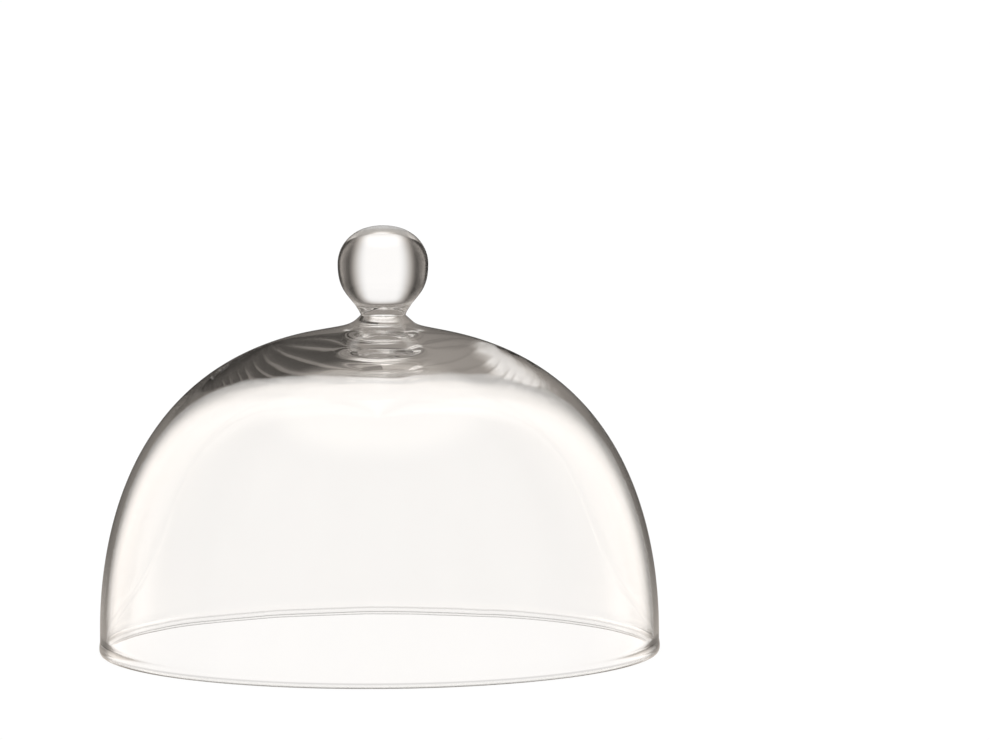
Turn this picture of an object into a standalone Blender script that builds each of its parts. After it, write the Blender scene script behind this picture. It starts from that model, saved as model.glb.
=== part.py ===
"""Clear glass display dome: a hollow bell, a solid neck collar and a solid ball knob.

Units are metres, +Z is up. The origin is on the bell's axis in the plane of its rim,
so the dome stands on z = 0. All three pieces are turned shapes; the collar and ball
are set a little to the +X side of the bell's axis.

Outlines are lists of (radius, height). A "pull" is the length of a curve's handle.
"""

import math

import bpy
import numpy as np

# ---------------------------------------------------------------- driving dimensions
JOINT_GAP = 0.0003              # clearance between neighbouring pieces

# bell, outside
DOME_R = 0.1400                 # outer radius of the straight lower wall
WALL_BEND_Z = 0.0098            # the wall is upright below this height
WALL_PULL = 0.0582
SHOULDER_R = 0.0335             # where the crown runs into the neck's flare
SHOULDER_Z = 0.1601
SHOULDER_SLOPE = math.radians(10.9)     # fall of the shoulder below horizontal
SHOULDER_PULL = 0.0871

# bell, wall thickness measured square to the outside
RIM_WALL = 0.00275
CROWN_WALL = 0.0120
CROWN_SPREAD = 0.075            # meridian length over which the thick crown thins out

# rim: rounded bead with a narrow flat land to stand on
BEAD_PROUD = 0.0004             # offset of the bead's upper handle from the wall
BEAD_LOW_PROUD = 2.2 * BEAD_PROUD
BEAD_H = 0.0038
BEAD_TOP_Z = BEAD_H + 0.002     # where the bead leaves the wall
BEAD_LOW_Z = 0.0002             # height of the bead's lower handle
LAND_W = 0.0012

# neck collar
SEAL_R = 0.0200                 # radius of the joint between collar and crown
SEAL_MARGIN = 0.0008            # flare points nearer the joint than this are left out
WAIST_R = 0.0110
WAIST_Z = 0.16845
FLARE_ANGLE = math.radians(48.0)        # from upright, just below the waist
FLARE_PULL = 0.00817
FOOT_PULL = 0.01807

# ball knob
BALL_R = 0.02262
BALL_Z = 0.1937                 # height of the ball's widest circle
TOP_Z = 0.2130
TOP_PULL = 0.01566
TOP_SIDE_PULL = 0.00906
LOW_SIDE_PULL = 0.01514
CONE_ANGLE = math.radians(25.6)         # from upright, just above the waist
CONE_PULL = 0.0111

# sideways shift of the neck: none at the low height, all of it at the high one
SET_OVER = 0.0024
SET_OVER_LOW_Z = 0.1585
SET_OVER_HIGH_Z = 0.1660

# fineness
SEGMENTS = 64                   # facets round every turned shape
FLARE_STEPS = 14
BELL_STEPS = 22                 # along the outside, and again along the inside
BEAD_STEPS = 5                  # on each side of the land
BALL_STEPS = 14                 # above and again below the widest circle
CAP_SAMPLES = 40                # samples used to work out the bell's inside
WALL_SAMPLES = 240
SEAL_SAMPLES = 400              # samples used to find the joint's height

SHARP_ANGLE = math.radians(35)  # edges that turn more than this are shaded sharp


# ---------------------------------------------------------------- outlines
def bezier(start, start_handle, end_handle, end, count):
    """count + 1 points along one cubic curve."""
    points = []
    for i in range(count + 1):
        t = i / count
        weights = ((1 - t) ** 3, 3 * t * (1 - t) ** 2, 3 * t * t * (1 - t), t ** 3)
        controls = (start, start_handle, end_handle, end)
        points.append(tuple(sum(weight * control[axis]
                                for weight, control in zip(weights, controls))
                            for axis in (0, 1)))
    return points


def on_shoulder_slope(distance):
    """Point on the shoulder's tangent, this far outward and down from the shoulder."""
    return (SHOULDER_R + distance * math.cos(SHOULDER_SLOPE),
            SHOULDER_Z - distance * math.sin(SHOULDER_SLOPE))


def flare(count):
    """Trumpet curve from the waist down and out to the bell's shoulder."""
    return bezier((WAIST_R, WAIST_Z),
                  (WAIST_R + FLARE_PULL * math.sin(FLARE_ANGLE),
                   WAIST_Z - FLARE_PULL * math.cos(FLARE_ANGLE)),
                  on_shoulder_slope(-FOOT_PULL),
                  (SHOULDER_R, SHOULDER_Z), count)


def bell_outside(count):
    """Outer meridian of the bell, from the shoulder to the upright wall."""
    return bezier((SHOULDER_R, SHOULDER_Z),
                  on_shoulder_slope(SHOULDER_PULL),
                  (DOME_R, WALL_BEND_Z + WALL_PULL),
                  (DOME_R, WALL_BEND_Z), count)


def crown_cap(count):
    """Parabola that carries the bell's outside on to its axis, as if there were no neck."""
    curvature = math.tan(SHOULDER_SLOPE) / (2 * SHOULDER_R)
    radii = [SHOULDER_R * i / count for i in range(count)]
    return [(r, SHOULDER_Z + curvature * (SHOULDER_R ** 2 - r ** 2)) for r in radii]


def bell_inside(count):
    """Inner meridian from the axis to the upright wall: the outside set in by the wall."""
    outside = np.array(crown_cap(CAP_SAMPLES) + bell_outside(WALL_SAMPLES))
    tangent = np.gradient(outside, axis=0)
    tangent /= np.linalg.norm(tangent, axis=1, keepdims=True)
    inward = np.column_stack((tangent[:, 1], -tangent[:, 0]))

    steps = np.linalg.norm(np.diff(outside, axis=0), axis=1)
    arc = np.concatenate(([0.0], np.cumsum(steps)))
    wall = RIM_WALL + (CROWN_WALL - RIM_WALL) * np.exp(-(arc / CROWN_SPREAD) ** 2)
    inside = outside + inward * wall[:, None]
    inside[0, 0] = inside[0, 0]

    # even steps along the meridian, from exactly on the axis
    stations = np.linspace(0.0, arc[-1], count + 1)
    radii = np.interp(stations, arc, inside[:, 0])
    heights = np.interp(stations, arc, inside[:, 1])
    radii[0] = 0.0
    return list(zip(radii.tolist(), heights.tolist()))


def rim_bead(count):
    """Rounded rim from the outer wall, over the flat land, to the inner wall."""
    middle = DOME_R - RIM_WALL / 2
    outer = bezier((DOME_R, BEAD_TOP_Z), (DOME_R + BEAD_PROUD, BEAD_H),
                   (DOME_R + BEAD_LOW_PROUD, BEAD_LOW_Z), (middle + LAND_W / 2, 0.0), count)
    inner = [(2 * middle - r, z) for r, z in reversed(outer)]
    return outer + inner


def dome_outline(seal_z):
    """Crown land under the collar, the outside down to the rim, and the inside back up."""
    land_z = seal_z - JOINT_GAP / 2
    return ([(0.0, land_z), (SEAL_R, land_z)]
            + [point for point in flare(FLARE_STEPS) if point[0] > SEAL_R + SEAL_MARGIN]
            + bell_outside(BELL_STEPS)[1:]
            + rim_bead(BEAD_STEPS)
            + bell_inside(BELL_STEPS)[::-1])


def collar_outline(seal_z):
    """Solid spool between the crown land and the ball."""
    top_z = WAIST_Z - JOINT_GAP / 2
    foot_z = seal_z + JOINT_GAP / 2
    return ([(0.0, top_z), (WAIST_R, top_z)]
            + [point for point in flare(FLARE_STEPS)[1:] if point[0] < SEAL_R - SEAL_MARGIN]
            + [(SEAL_R, foot_z), (0.0, foot_z)])


def ball_outline():
    """Ball with a conical underside that ends at the waist."""
    foot_z = WAIST_Z + JOINT_GAP / 2
    widest = (BALL_R, BALL_Z)
    upper = bezier((0.0, TOP_Z), (TOP_PULL, TOP_Z),
                   (BALL_R, BALL_Z + TOP_SIDE_PULL), widest, BALL_STEPS)
    lower = bezier(widest, (BALL_R, BALL_Z - LOW_SIDE_PULL),
                   (WAIST_R + CONE_PULL * math.sin(CONE_ANGLE),
                    foot_z + CONE_PULL * math.cos(CONE_ANGLE)),
                   (WAIST_R, foot_z), BALL_STEPS)
    return upper + lower[1:] + [(0.0, foot_z)]


# ---------------------------------------------------------------- modelling helpers
def glass(name, tint, roughness):
    """Clear glass as a Principled material."""
    material = bpy.data.materials.new(name)
    material.use_nodes = True
    shader = material.node_tree.nodes["Principled BSDF"]
    shader.inputs["Base Color"].default_value = (*tint, 1.0)
    shader.inputs["Roughness"].default_value = roughness
    shader.inputs["Metallic"].default_value = 0.0
    shader.inputs["Transmission Weight"].default_value = 1.0
    shader.inputs["IOR"].default_value = 1.52
    material.diffuse_color = (*tint, 0.35)      # see-through in the solid viewport
    return material


def turned(name, outline, material, root, origin_z=0.0):
    """Solid of revolution about Z from an outline, top to bottom, as a plain mesh."""
    profile = bpy.data.meshes.new(name)
    profile.from_pydata([(r, 0.0, z - origin_z) for r, z in outline],
                        [(i, i + 1) for i in range(len(outline) - 1)], [])
    profile.materials.append(material)
    piece = bpy.data.objects.new(name, profile)
    piece.location.z = origin_z
    root.users_collection[0].objects.link(piece)

    screw = piece.modifiers.new("turn", "SCREW")
    screw.axis = "Z"
    screw.angle = 2 * math.pi
    screw.steps = SEGMENTS
    screw.render_steps = SEGMENTS
    screw.use_merge_vertices = True
    screw.merge_threshold = 0.00001
    screw.use_smooth_shade = True

    bpy.context.view_layer.update()
    depsgraph = bpy.context.evaluated_depsgraph_get()
    mesh = bpy.data.meshes.new_from_object(piece.evaluated_get(depsgraph))
    piece.modifiers.clear()
    piece.data = mesh
    bpy.data.meshes.remove(profile)
    mesh.name = name
    piece.parent = root
    return piece


def lean_neck(piece):
    """Carry the part of a piece that belongs to the neck sideways, with a smooth start."""
    for vertex in piece.data.vertices:
        z = vertex.co.z + piece.location.z
        rise = (z - SET_OVER_LOW_Z) / (SET_OVER_HIGH_Z - SET_OVER_LOW_Z)
        rise = min(max(rise, 0.0), 1.0)
        vertex.co.x += SET_OVER * rise * rise * (3.0 - 2.0 * rise)


def shade(piece):
    """Round faces smooth, real corners sharp."""
    piece.data.shade_smooth()
    piece.data.set_sharp_from_angle(angle=SHARP_ANGLE)


# ---------------------------------------------------------------- build
def build():
    for old in list(bpy.data.objects):
        bpy.data.objects.remove(old, do_unlink=True)

    parts = bpy.data.collections.new("glass_display_dome")
    bpy.context.scene.collection.children.link(parts)
    root = bpy.data.objects.new("glass_display_dome_root", None)
    parts.objects.link(root)

    bell_glass = glass("bell_glass", tint=(0.97, 0.975, 0.96), roughness=0.02)
    collar_glass = glass("collar_glass", tint=(0.96, 0.965, 0.95), roughness=0.02)
    ball_glass = glass("ball_glass", tint=(0.97, 0.97, 0.955), roughness=0.01)

    # height at which the flare reaches the joint between collar and crown
    flare_radii, flare_heights = zip(*flare(SEAL_SAMPLES))
    seal_z = float(np.interp(SEAL_R, flare_radii, flare_heights))

    shell = turned("dome_shell", dome_outline(seal_z), bell_glass, root)
    collar = turned("neck_collar", collar_outline(seal_z), collar_glass, root, seal_z)
    ball = turned("ball_knob", ball_outline(), ball_glass, root, WAIST_Z)

    lean_neck(shell)
    lean_neck(collar)
    ball.location.x = SET_OVER
    for piece in (shell, collar, ball):
        shade(piece)


build()
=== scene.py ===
"""Looks of a glass display dome: clear blown bell, solid collar and solid ball knob.

Metres, +Z up. The dome stands on its rim with its axis on Z; collar and ball sit a
little off the axis, towards +X. The camera looks along +Y.
"""
import math

import bmesh
import bpy
import numpy as np
from mathutils import Matrix, Vector, noise


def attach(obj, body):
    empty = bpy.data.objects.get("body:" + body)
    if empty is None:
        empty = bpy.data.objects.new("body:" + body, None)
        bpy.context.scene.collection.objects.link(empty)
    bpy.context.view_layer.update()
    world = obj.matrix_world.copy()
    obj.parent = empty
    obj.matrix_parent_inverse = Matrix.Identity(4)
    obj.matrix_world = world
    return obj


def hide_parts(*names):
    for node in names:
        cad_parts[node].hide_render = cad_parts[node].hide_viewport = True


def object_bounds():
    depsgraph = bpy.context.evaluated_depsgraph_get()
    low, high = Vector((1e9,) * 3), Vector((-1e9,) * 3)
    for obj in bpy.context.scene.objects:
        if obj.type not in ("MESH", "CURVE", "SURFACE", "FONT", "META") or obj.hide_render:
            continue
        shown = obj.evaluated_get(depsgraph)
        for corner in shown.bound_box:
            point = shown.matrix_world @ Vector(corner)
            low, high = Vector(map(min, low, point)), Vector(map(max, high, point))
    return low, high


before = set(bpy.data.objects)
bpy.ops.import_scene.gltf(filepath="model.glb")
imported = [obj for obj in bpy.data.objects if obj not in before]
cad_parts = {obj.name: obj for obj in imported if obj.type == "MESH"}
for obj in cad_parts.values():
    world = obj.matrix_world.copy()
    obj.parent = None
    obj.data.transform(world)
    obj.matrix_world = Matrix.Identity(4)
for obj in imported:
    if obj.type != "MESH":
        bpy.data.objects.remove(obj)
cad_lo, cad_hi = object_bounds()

# ------------------------------------------------------------------ sizes (metres)
# The outlines are Bezier curves in (r, z). A PULL is the length of a curve's handle.
LOW = cad_lo.z                      # the land of the rim
TOP_Z = cad_hi.z                    # the top of the ball
AROUND = 256                        # facets round each piece

# Bell: an upright wall up to the bend, then one curve to the shoulder
DOME_R = 0.1400
WALL_BEND_Z, WALL_PULL = 0.0098, 0.0582
SHOULDER_R, SHOULDER_Z = 0.0335, 0.1601
SHOULDER_SLOPE = math.radians(10.9)             # below level
SHOULDER_DIR = np.array([math.cos(SHOULDER_SLOPE), -math.sin(SHOULDER_SLOPE)])
SHOULDER_PULL = 0.0871
RIM_WALL, CROWN_WALL = 0.00275, 0.0120          # wall thickness at the rim and on the axis
CROWN_SPREAD = 0.075                # distance along the wall over which the crown thins

# Rim bead
BEAD_H, BEAD_LEAD = 0.0038, 0.002   # height, and how far above it the curve starts
BEAD_PROUD = 0.0004
LAND_PULL_R, LAND_PULL_Z = 2.2 * BEAD_PROUD, 0.0002   # handle at the land, from wall and floor
LAND_W = 0.0012

# Collar, from the waist under the ball down its flare to the shoulder
SEAL_R, SEAL_GAP = 0.0200, 0.0001   # joint of collar and bell; outline kept clear of it
WAIST_R, WAIST_Z = 0.0110, 0.16845
FLARE_ANGLE = math.radians(48.0)                # from upright
FLARE_PULL, FOOT_PULL = 0.00817, 0.01807
FLARE_FILLET = 0.00022

# Ball, round above its widest ring and tapering to the waist below it
BALL_R, BALL_Z = 0.02262, 0.1937
TOP_PULL, TOP_SIDE_PULL, LOW_SIDE_PULL = 0.01566, 0.00906, 0.01514
CONE_ANGLE, CONE_PULL = math.radians(25.6), 0.0111    # angle from upright
CONE_FILLET = 0.00051
WAIST_FINE = 0.002                  # rows are kept closer within this height of the waist

# Collar and ball lean over towards +X, growing between two heights
SET_OVER, SET_OVER_LOW_Z, SET_OVER_HIGH_Z = 0.0024, 0.1585, 0.1660

# How far the surfaces wander from round
OUT_WAVE, IN_RIM_WAVE, IN_WAVE, BALL_WAVE = 0.00002, 0.00002, 0.00016, 0.00006

# ------------------------------------------------------------------ look
IOR = 1.52
GLASS_TINT = (1.0, 1.0, 0.998)
CORD_KEEP = 0.985                   # share of the tint left in a full cord
# Painted shade lines round the rim, standing in for the dark lines that the rounded rim bends into
# view: inner face (1) or outer (0), height, half width, light let through
PAINTED_SHADE_RINGS = (
    (1.0, 0.0039, 0.00042, 0.72),
    (1.0, 0.0016, 0.00024, 0.48),
    (1.0, 0.0002, 0.00035, 0.55),
    (0.0, 0.0024, 0.00045, 0.72),
    (0.0, 0.0002, 0.00060, 0.32),
)
BACKDROP_LEVEL = 1.02               # floor and world, just over white
FLOOR_HALF, FLOOR_DROP = 6.0, 0.0003
TENT_R, TENT_Z = 1.2, 0.12
CAM_PLACE = (0.05815, -2.387, 0.3230)
CAM_PITCH, CAM_ROLL = 0.0763, -0.0030           # radians, pitch below level
CAM_SENSOR, CAM_LENS = 36.0, 174.2              # mm


# ------------------------------------------------------------------ curves
def bezier(p0, p1, p2, p3, count):
    t = np.linspace(0.0, 1.0, count + 1)[:, None]
    p = np.array([p0, p1, p2, p3], float)
    return ((1 - t) ** 3 * p[0] + 3 * t * (1 - t) ** 2 * p[1]
            + 3 * t * t * (1 - t) * p[2] + t ** 3 * p[3])


def smoothstep(x, low, high):
    t = np.clip((np.asarray(x, float) - low) / (high - low), 0.0, 1.0)
    return t * t * (3.0 - 2.0 * t)


def outward_normals(line):
    """Unit normals on the left of the direction of travel along an outline."""
    along = np.gradient(line, axis=0)
    along /= np.maximum(np.linalg.norm(along, axis=1), 1e-9)[:, None]
    return np.stack([-along[:, 1], along[:, 0]], -1)


def disc(radius, z):
    """Flat cap from the axis outwards."""
    return [(0.0, z), (radius * 0.5, z), (radius, z)]


def flare(count):
    """From the waist down and out to the shoulder."""
    shoulder = np.array([SHOULDER_R, SHOULDER_Z])
    return bezier((WAIST_R, WAIST_Z),
                  (WAIST_R + FLARE_PULL * math.sin(FLARE_ANGLE),
                   WAIST_Z - FLARE_PULL * math.cos(FLARE_ANGLE)),
                  shoulder - FOOT_PULL * SHOULDER_DIR,
                  shoulder, count)


def seal_height():
    line = flare(2000)
    return float(np.interp(SEAL_R, line[:, 0], line[:, 1]))


def bell_outside(count):
    """From the shoulder down to the bend above the rim."""
    shoulder = np.array([SHOULDER_R, SHOULDER_Z])
    return bezier(shoulder, shoulder + SHOULDER_PULL * SHOULDER_DIR,
                  (DOME_R, WALL_BEND_Z + WALL_PULL), (DOME_R, WALL_BEND_Z), count)


def bell_inside(count):
    """The outside set in by the wall, which is thick at the crown, from the axis outwards."""
    crown = math.tan(SHOULDER_SLOPE) / (2 * SHOULDER_R)
    r = np.linspace(0.0, SHOULDER_R, 61)[:-1]
    cap = np.stack([r, SHOULDER_Z + crown * (SHOULDER_R ** 2 - r ** 2)], -1)
    line = np.concatenate([cap, bell_outside(400)])
    step = np.linalg.norm(np.diff(line, axis=0), axis=1)
    arc = np.concatenate([[0.0], np.cumsum(step)])
    wall = RIM_WALL + (CROWN_WALL - RIM_WALL) * np.exp(-(arc / CROWN_SPREAD) ** 2)
    inner = line - outward_normals(line) * wall[:, None]
    even = np.linspace(0.0, arc[-1], count + 1)
    inside = np.stack([np.interp(even, arc, inner[:, 0]), np.interp(even, arc, inner[:, 1])], -1)
    inside[0, 0] = 0.0
    return inside


def rim_bead(count):
    """Fire-polished rim: outer wall, over the flat land, to the inner wall."""
    mid, half = DOME_R - RIM_WALL / 2, RIM_WALL / 2
    outer = bezier((mid + half, BEAD_H + BEAD_LEAD), (mid + half + BEAD_PROUD, BEAD_H),
                   (mid + half + LAND_PULL_R, LAND_PULL_Z), (mid + LAND_W / 2, 0.0), count)
    inner = outer[::-1] * [-1, 1] + [2 * mid, 0]
    return np.concatenate([outer, inner])


def ease_waist(line, angle, reach):
    """Small fillet where ball and collar meet: the outline turns upright at the waist."""
    line = line.copy()
    dz = np.abs(line[:, 1] - WAIST_Z)
    line[:, 0] += math.tan(angle) * (np.sqrt(dz ** 2 + reach ** 2) - dz) * np.exp(-dz / (6 * reach))
    return line


# ------------------------------------------------------------------ turned solids
def wander(point, scale, seed):
    x, y, z = point
    where = Vector((x * scale + seed, y * scale - seed, z * scale + 0.5 * seed))
    return noise.fractal(where, 0.8, 2.1, 3, noise_basis="PERLIN_ORIGINAL")


def turn(name, line, caps, wave=0.0, wave_scale=1.0, seed=0.0):
    """Closed solid of revolution from an outline (r, z), from its top on the axis to its
    bottom on the axis.
    caps: outline segments that get the second material slot, counted from either end.
    wave: how far the surface wanders from round, for the whole outline or at each point."""
    line = np.array(line, float)
    line[0, 0] = line[-1, 0] = 0.0
    rows, segments = len(line) - 2, len(line) - 1
    angles = np.linspace(0.0, 2 * math.pi, AROUND, endpoint=False)
    normals = outward_normals(line)[1:-1]
    body = line[1:-1, None, :] + np.zeros((rows, AROUND, 1))
    wave = np.broadcast_to(wave, len(line))[1:-1]
    for i in range(rows):
        if abs(wave[i]) < 1e-7:
            continue
        for k in range(AROUND):
            r, z = body[i, k]
            point = (r * math.cos(angles[k]), r * math.sin(angles[k]), z)
            body[i, k] += normals[i] * wave[i] * wander(point, wave_scale, seed)

    rings = np.empty((rows, AROUND, 3))
    rings[..., 0] = body[..., 0] * np.cos(angles)
    rings[..., 1] = body[..., 0] * np.sin(angles)
    rings[..., 2] = body[..., 1]
    # each pole moves with the mean of the ring beside it
    top = line[0, 1] + (body[0, :, 1].mean() - line[1, 1])
    bottom = line[-1, 1] + (body[-1, :, 1].mean() - line[-2, 1])
    verts = np.concatenate([[[0, 0, top]], rings.reshape(-1, 3), [[0, 0, bottom]]])
    verts[:, 0] += SET_OVER * smoothstep(verts[:, 2], SET_OVER_LOW_Z, SET_OVER_HIGH_Z)

    last = len(verts) - 1
    ring_steps = [(k, (k + 1) % AROUND) for k in range(AROUND)]
    faces = [(0, 1 + k, 1 + n) for k, n in ring_steps]
    for i in range(rows - 1):
        a = 1 + i * AROUND
        b = a + AROUND
        faces += [(a + k, b + k, b + n, a + n) for k, n in ring_steps]
    a = 1 + (rows - 1) * AROUND
    faces += [(last, a + n, a + k) for k, n in ring_steps]
    caps = {cap % segments for cap in caps}
    slots = [int(segment in caps) for segment in range(segments) for _ in range(AROUND)]

    mesh = bpy.data.meshes.new(name)
    mesh.from_pydata([tuple(v) for v in verts], [], faces)
    mesh.polygons.foreach_set("material_index", slots)
    mesh.update()
    mesh.shade_smooth()
    mesh.set_sharp_from_angle(angle=math.radians(28))
    return add_object(name, mesh)


def add_object(name, data):
    thing = bpy.data.objects.new(name, data)
    bpy.context.scene.collection.objects.link(thing)
    return thing


# ------------------------------------------------------------------ shader trees
class Nodes:
    """Small wrapper for writing shader trees. An input may be a value or a socket."""

    def __init__(self, tree):
        self.tree = tree
        tree.nodes.clear()

    def new(self, kind, inputs=None, **settings):
        node = self.tree.nodes.new(kind)
        for key, value in settings.items():
            setattr(node, key, value)
        for key, value in (inputs or {}).items():
            if hasattr(value, "is_output"):
                self.tree.links.new(value, node.inputs[key])
            else:
                node.inputs[key].default_value = value
        return node

    def math(self, op, *values):
        return self.new("ShaderNodeMath", dict(enumerate(values)), operation=op).outputs[0]

    def vec(self, op, *values, out=0):
        node = self.new("ShaderNodeVectorMath", dict(enumerate(values)), operation=op)
        return node.outputs[out]

    def xyz(self, vector):
        return self.new("ShaderNodeSeparateXYZ", {0: vector}).outputs

    def remap(self, x, from_low, from_high, to_low=0.0, to_high=1.0, kind="SMOOTHSTEP"):
        values = dict(enumerate((x, from_low, from_high, to_low, to_high)))
        return self.new("ShaderNodeMapRange", values, interpolation_type=kind).outputs[0]

    def mix(self, factor, a, b):
        """Mix of two colours."""
        return self.new("ShaderNodeMix", {0: factor, 6: a, 7: b}, data_type="RGBA").outputs[2]

    def blend(self, mask, off, on):
        """Mix of two numbers: off where the mask is 0, on where it is 1."""
        return self.new("ShaderNodeMix", {0: mask, 2: off, 3: on}, data_type="FLOAT").outputs[0]

    def rising(self, x, at, soft):
        """Soft edge: 0 below, 1 above."""
        return self.remap(x, at - soft, at + soft)

    def falling(self, x, at, soft):
        """Soft edge: 1 below, 0 above."""
        return self.remap(x, at - soft, at + soft, 1.0, 0.0)

    def bell_curve(self, x, centre, half):
        off = self.math("DIVIDE", self.math("SUBTRACT", x, centre), half)
        return self.math("EXPONENT", self.math("MULTIPLY", self.math("MULTIPLY", off, off), -1.0))

    def noise(self, vector, scale, detail, rough):
        values = {"Vector": vector, "Scale": scale, "Detail": detail, "Roughness": rough}
        return self.new("ShaderNodeTexNoise", values).outputs[0]

    def emission(self, colour, strength):
        return self.new("ShaderNodeEmission", {"Color": colour, "Strength": strength})

    def finish(self, shader):
        self.new("ShaderNodeOutputMaterial", {"Surface": shader.outputs[0]})


def new_material(name):
    mat = bpy.data.materials.new(name)
    mat.use_nodes = True
    return mat, Nodes(mat.node_tree)


# ------------------------------------------------------------------ glass
def painted_shade_at_rim(n, geo):
    """Share of light let through by the painted shade lines round the rim, counted on the way in.
    """
    height = n.xyz(geo.outputs["Position"])[2]
    inner_side = n.new("ShaderNodeAttribute", attribute_name="inner_side").outputs["Fac"]
    into = n.math("SUBTRACT", 1.0, geo.outputs["Backfacing"])
    shade = 1.0
    for face, z, half, keep in PAINTED_SHADE_RINGS:
        line = n.bell_curve(height, LOW + z, half)
        on = n.math("MULTIPLY", into, n.math("COMPARE", inner_side, face, 0.5))
        loss = n.math("MULTIPLY", n.math("MULTIPLY", line, on), 1.0 - keep)
        shade = n.math("MULTIPLY", shade, n.math("SUBTRACT", 1.0, loss))
    return shade


def glass_material(name, paint_shade_lines=False):
    """Clear soda glass: each face mirrors by the Fresnel law and bends the rest."""
    mat, n = new_material(name)
    geo = n.new("ShaderNodeNewGeometry")
    where = geo.outputs["Position"]
    # faint drawn cords in the melt: they tint and bend the light a little
    stretched = n.vec("MULTIPLY", where, (1.0, 1.0, 0.35))
    cords = n.noise(stretched, scale=30.0, detail=3.0, rough=0.55)
    cord_tint = tuple(c * CORD_KEEP for c in GLASS_TINT)
    colour = n.mix(cords, (*GLASS_TINT, 1.0), (*cord_tint, 1.0))
    # painted shade: the lines round the rim darken the tint where light comes in
    if paint_shade_lines:
        scaled = {0: colour, "Scale": painted_shade_at_rim(n, geo)}
        colour = n.new("ShaderNodeVectorMath", scaled, operation="SCALE").outputs[0]
    # patches of haze; to_high is their roughness, and 0 leaves the glass clear
    patches = n.noise(where, scale=9.0, detail=4.0, rough=0.6)
    rough = n.remap(patches, 0.55, 0.8, to_low=0.0, to_high=0.0)
    normal = n.new("ShaderNodeBump",
                   {"Strength": 0.06, "Distance": 0.0004, "Height": cords}).outputs[0]
    bent = n.new("ShaderNodeBsdfRefraction",
                 {"IOR": IOR, "Color": colour, "Roughness": rough, "Normal": normal})
    mirrored = n.new("ShaderNodeBsdfGlossy",
                     {"Roughness": 0.0, "Color": (1.0, 1.0, 1.0, 1.0), "Normal": normal})
    fresnel = n.new("ShaderNodeFresnel", {"IOR": IOR, "Normal": normal})
    n.finish(n.new("ShaderNodeMixShader", {0: fresnel.outputs[0], 1: bent.outputs[0],
                                           2: mirrored.outputs[0]}))
    mat.diffuse_color = (*GLASS_TINT, 0.35)
    return mat


def seal_material():
    """Where two gathers were joined hot there is no surface: light goes straight on."""
    mat, n = new_material("hot_seal")
    n.finish(n.new("ShaderNodeBsdfTransparent"))
    return mat


# ------------------------------------------------------------------ pieces
def make_bell(seal_z):
    foot = flare(120)
    foot = foot[foot[:, 0] > SEAL_R + SEAL_GAP]
    outside = bell_outside(110)[1:]
    bead = rim_bead(12)
    inside = bell_inside(110)[::-1]
    line = np.concatenate([disc(SEAL_R, seal_z), foot, outside, bead, inside])
    fade = 6                        # rows at each end of the bead over which the wave fades
    wave = np.concatenate([
        np.zeros(3 + len(foot)),
        OUT_WAVE * smoothstep(np.linspace(0, 1, len(outside)), 0.0, 0.12),
        np.linspace(OUT_WAVE, 0.0, fade),
        np.zeros(len(bead) - 2 * fade),
        np.linspace(0.0, IN_RIM_WAVE, fade),
        IN_RIM_WAVE + IN_WAVE * smoothstep(np.linspace(0, 1, len(inside)), 0.35, 0.8),
    ])
    bell = turn("dome_shell_glass", line, caps=(0, 1), wave=wave, wave_scale=17.0, seed=3.7)
    # 1 on the inner face, which starts halfway over the land
    outer_points = 3 + len(foot) + len(outside) + len(bead) // 2
    last_outer = (outer_points - 1) * AROUND
    inner_side = bell.data.attributes.new("inner_side", "FLOAT", "POINT")
    inner_side.data.foreach_set("value", [float(i > last_outer)
                                          for i in range(len(bell.data.vertices))])
    # the bell's glass carries the painted shade lines round the rim
    bell.data.materials.append(glass_material("blown_bell_glass", paint_shade_lines=True))
    return bell


def make_collar(seal_z):
    side = flare(400)
    side = side[side[:, 0] < SEAL_R - SEAL_GAP]
    near = side[:, 1] > WAIST_Z - WAIST_FINE
    side = ease_waist(np.concatenate([side[near], side[~near][::4]]), FLARE_ANGLE, FLARE_FILLET)
    line = np.concatenate([disc(WAIST_R, WAIST_Z)[:2], side, disc(SEAL_R, seal_z)[::-1]])
    collar = turn("neck_collar_glass", line, caps=(0, 1, -2, -1))
    collar.data.materials.append(glass_material("collar_glass"))
    return collar


def make_ball():
    dome = bezier((0.0, TOP_Z), (TOP_PULL, TOP_Z),
                  (BALL_R, BALL_Z + TOP_SIDE_PULL), (BALL_R, BALL_Z), 90)
    cone = bezier((BALL_R, BALL_Z), (BALL_R, BALL_Z - LOW_SIDE_PULL),
                  (WAIST_R + CONE_PULL * math.sin(CONE_ANGLE),
                   WAIST_Z + CONE_PULL * math.cos(CONE_ANGLE)),
                  (WAIST_R, WAIST_Z), 360)[1:]
    near = cone[:, 1] < WAIST_Z + WAIST_FINE
    cone = ease_waist(np.concatenate([cone[~near][::4], cone[near][::2]]), CONE_ANGLE, CONE_FILLET)
    line = np.concatenate([dome, cone, disc(WAIST_R, WAIST_Z)[1::-1]])
    wave = np.full(len(line), BALL_WAVE)
    wave[-8:] = 0.0                 # true at the waist, to meet the collar
    ball = turn("ball_knob_glass", line, caps=(-2, -1), wave=wave, wave_scale=60.0, seed=9.1)
    ball.data.materials.append(glass_material("ball_glass"))
    return ball


seal_z = seal_height()
bell, collar, ball = make_bell(seal_z), make_collar(seal_z), make_ball()
seal = seal_material()
for piece, node, slot in ((bell, "dome_shell", "bell_glass"),
                          (collar, "neck_collar", "collar_glass"),
                          (ball, "ball_knob", "ball_glass")):
    piece.data.materials.append(seal)
    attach(piece, "root")
    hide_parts(node)


# ------------------------------------------------------------------ floor
def hide_from(thing, *rays):
    for ray in rays:
        setattr(thing, "visible_" + ray, False)


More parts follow.
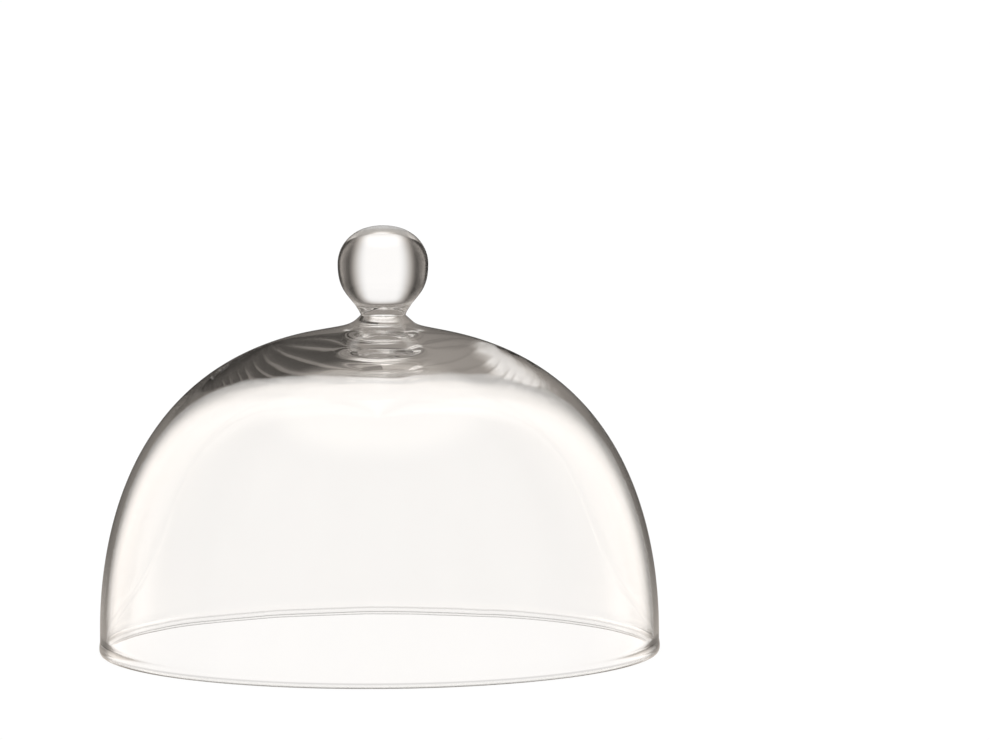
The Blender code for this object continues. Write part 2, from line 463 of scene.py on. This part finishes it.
def floor_material():
    """White, with a faint painted contact shadow: a grey ring where the rim touches."""
    mat, n = new_material("pale_floor")
    where = n.new("ShaderNodeNewGeometry").outputs["Position"]
    radius = n.vec("LENGTH", n.vec("MULTIPLY", where, (1.0, 1.0, 0.0)), out=1)
    # painted contact shadow round the foot of the rim
    painted_contact_shadow = n.bell_curve(radius, centre=DOME_R - 0.0015, half=0.006)
    colour = n.mix(n.math("MULTIPLY", painted_contact_shadow, 0.05), a=(1.0, 1.0, 1.0, 1.0),
                   b=(0.5, 0.48, 0.46, 1.0))
    n.finish(n.emission(colour, BACKDROP_LEVEL))
    return mat


corners = [(x * FLOOR_HALF, y * FLOOR_HALF, 0) for x, y in ((-1, -1), (1, -1), (1, 1), (-1, 1))]
floor_mesh = bpy.data.meshes.new("floor")
floor_mesh.from_pydata(corners, [], [(0, 1, 2, 3)])
floor = add_object("floor", floor_mesh)
floor.location.z = LOW - FLOOR_DROP
floor_mesh.materials.append(floor_material())
hide_from(floor, "diffuse", "glossy", "transmission", "volume_scatter", "shadow")


# ------------------------------------------------------------------ light tent
# Only rays that have met the glass see the tent. It turns with the camera's heading, as if
# the glass stood on a turntable. What a ray meets depends on how often it was mirrored.
# Azimuth is in degrees from straight behind the glass, plus to the camera's right;
# elevation is in degrees above level; side is azimuth without its sign. Level 1 is white.
def tent_angles(n):
    where = n.new("ShaderNodeNewGeometry").outputs["Position"]
    ray = n.vec("NORMALIZE", n.vec("SUBTRACT", where, (0.0, 0.0, TENT_Z)))
    ahead = n.new("ShaderNodeVectorTransform", {0: (0.0, 0.0, 1.0)}, vector_type="VECTOR",
                  convert_from="CAMERA", convert_to="WORLD").outputs[0]
    heading = n.vec("NORMALIZE", n.vec("MULTIPLY", ahead, (1.0, 1.0, 0.0)))
    ray_x, ray_y, ray_z = n.xyz(ray)
    head_x, head_y, _ = n.xyz(heading)
    forward = n.vec("DOT_PRODUCT", ray, heading, out=1)
    right = n.math("SUBTRACT", n.math("MULTIPLY", ray_x, head_y),
                   n.math("MULTIPLY", ray_y, head_x))
    degrees = 180.0 / math.pi
    return (n.math("MULTIPLY", n.math("ARCTAN2", right, forward), degrees),
            n.math("MULTIPLY", n.math("ARCSINE", ray_z), degrees))


def straight_level(n, azimuth, elevation):
    """Straight through: a white panel in black cloth, dim ceiling, grey table edge, white floor."""
    panel = n.math("MULTIPLY", n.rising(azimuth, at=-27, soft=13),
                   n.falling(azimuth, at=25, soft=13))
    level = n.blend(panel, off=0.01, on=1.04)
    level = n.blend(n.rising(elevation, at=40, soft=11), off=level, on=0.15)
    level = n.blend(n.rising(elevation, at=-35, soft=8), off=0.6, on=level)
    return n.blend(n.rising(elevation, at=-58, soft=10), off=0.97, on=level)


def outer_level(n, side, elevation):
    """Mirrored once off an outside face: black cloth, side lamps, a grey room in front,
    a lamp overhead, a white table."""
    level = n.blend(n.rising(side, at=43, soft=9), off=0.03, on=2.0)
    level = n.blend(n.rising(side, at=80, soft=20), off=level, on=0.85)
    level = n.blend(n.rising(elevation, at=58, soft=8), off=level, on=2.4)
    return n.blend(n.rising(elevation, at=-13, soft=8), off=0.95, on=level)


def inner_level(n, side, elevation):
    """Mirrored inside up to three times: a strip of glare on the table, the near edge of
    each lamp, dim elsewhere."""
    glare = n.math("MULTIPLY", n.falling(side, at=10, soft=8), n.falling(elevation, at=0, soft=8))
    level = n.blend(glare, off=0.30, on=1.5)
    # the lamp edge is rounded over a rise of 20 degrees that starts just below level
    rise = n.math("MINIMUM", n.math("MAXIMUM", n.math("ADD", elevation, 4.4), 0.0), 20.0)
    away = n.math("SQRT", n.math("ADD", n.math("MULTIPLY", side, side),
                                 n.math("MULTIPLY", rise, rise)))
    lamp = n.math("MULTIPLY", n.rising(away, at=38, soft=5), n.falling(side, at=56, soft=8))
    return n.blend(lamp, off=level, on=1.0)


def guided_level(n, azimuth, elevation):
    """Guided inside the thick crown: a window on the left, dim beside it and above, a strip
    of glare low in the middle."""
    level = n.blend(n.math("LESS_THAN", azimuth, 0.0), off=0.06, on=0.36)
    window = n.math("MULTIPLY", n.falling(azimuth, at=-53, soft=8),
                    n.rising(azimuth, at=-100, soft=20))
    level = n.blend(window, off=level, on=1.1)
    from_strip = n.math("ABSOLUTE", n.math("ADD", azimuth, 3.0))
    low = n.blend(n.falling(from_strip, at=11, soft=4), off=0.30, on=1.05)
    level = n.blend(n.rising(elevation, at=-8, soft=8), off=low, on=level)
    return n.blend(n.rising(elevation, at=19, soft=8), off=level, on=0.17)


def tent_material():
    mat, n = new_material("light_tent")
    azimuth, elevation = tent_angles(n)
    side = n.math("ABSOLUTE", azimuth)
    path = n.new("ShaderNodeLightPath").outputs
    mirrors, passes = path["Glossy Depth"], path["Transmission Depth"]
    # an outside face is met after a whole number of wall pairs, four faces each
    outside = n.math("LESS_THAN", n.math("FLOORED_MODULO", passes, 4.0), 1.0)
    once_outside = n.math("MULTIPLY", n.math("COMPARE", mirrors, 1.0, 0.5), outside)
    unmirrored = n.math("LESS_THAN", mirrors, 0.5)
    level = n.blend(once_outside, off=inner_level(n, side, elevation),
                    on=outer_level(n, side, elevation))
    level = n.blend(unmirrored, off=level, on=straight_level(n, azimuth, elevation))
    level = n.blend(n.math("GREATER_THAN", mirrors, 3.5), off=level,
                    on=guided_level(n, azimuth, elevation))
    # bright light is paler than dim light; a single outside mirroring stays warm
    pale = n.blend(unmirrored, off=n.remap(level, 0.4, 1.4, kind="LINEAR"),
                   on=n.remap(level, 0.1, 0.9, kind="LINEAR"))
    pale = n.blend(once_outside, off=pale, on=0.0)
    colour = n.mix(pale, a=(1.0, 0.912, 0.83, 1.0), b=(1.0, 0.984, 0.972, 1.0))
    n.finish(n.emission(colour, level))
    mat.cycles.emission_sampling = "NONE"
    return mat


tent_mesh = bpy.data.meshes.new("light_tent")
bm = bmesh.new()
bmesh.ops.create_uvsphere(bm, u_segments=96, v_segments=64, radius=TENT_R)
bm.to_mesh(tent_mesh)
bm.free()
tent_mesh.shade_smooth()
tent = add_object("light_tent", tent_mesh)
tent.location.z = TENT_Z
tent_mesh.materials.append(tent_material())
hide_from(tent, "camera", "diffuse", "volume_scatter", "shadow")

# ------------------------------------------------------------------ world, camera, render
scene = bpy.context.scene
world = bpy.data.worlds.new("studio")
scene.world = world
world.use_nodes = True
background = world.node_tree.nodes["Background"].inputs
background["Color"].default_value = (1.0, 1.0, 1.0, 1.0)
background["Strength"].default_value = BACKDROP_LEVEL

cam_data = bpy.data.cameras.new("camera")
cam = add_object("camera", cam_data)
cam_data.sensor_width = CAM_SENSOR
cam_data.lens = CAM_LENS
cam_data.clip_start, cam_data.clip_end = 0.05, 50.0
cam.matrix_world = (Matrix.Translation(CAM_PLACE)
                    @ Matrix.Rotation(math.pi / 2 - CAM_PITCH, 4, "X")
                    @ Matrix.Rotation(CAM_ROLL, 4, "Z"))
scene.camera = cam

scene.view_settings.view_transform = "Standard"
scene.view_settings.look = "None"
# light crosses many glass faces before it leaves
scene.cycles.max_bounces = 64
scene.cycles.transmission_bounces = 64
scene.cycles.glossy_bounces = 64
scene.cycles.transparent_max_bounces = 24
scene.cycles.caustics_reflective = True
scene.cycles.caustics_refractive = True
scene.cycles.use_denoising = True
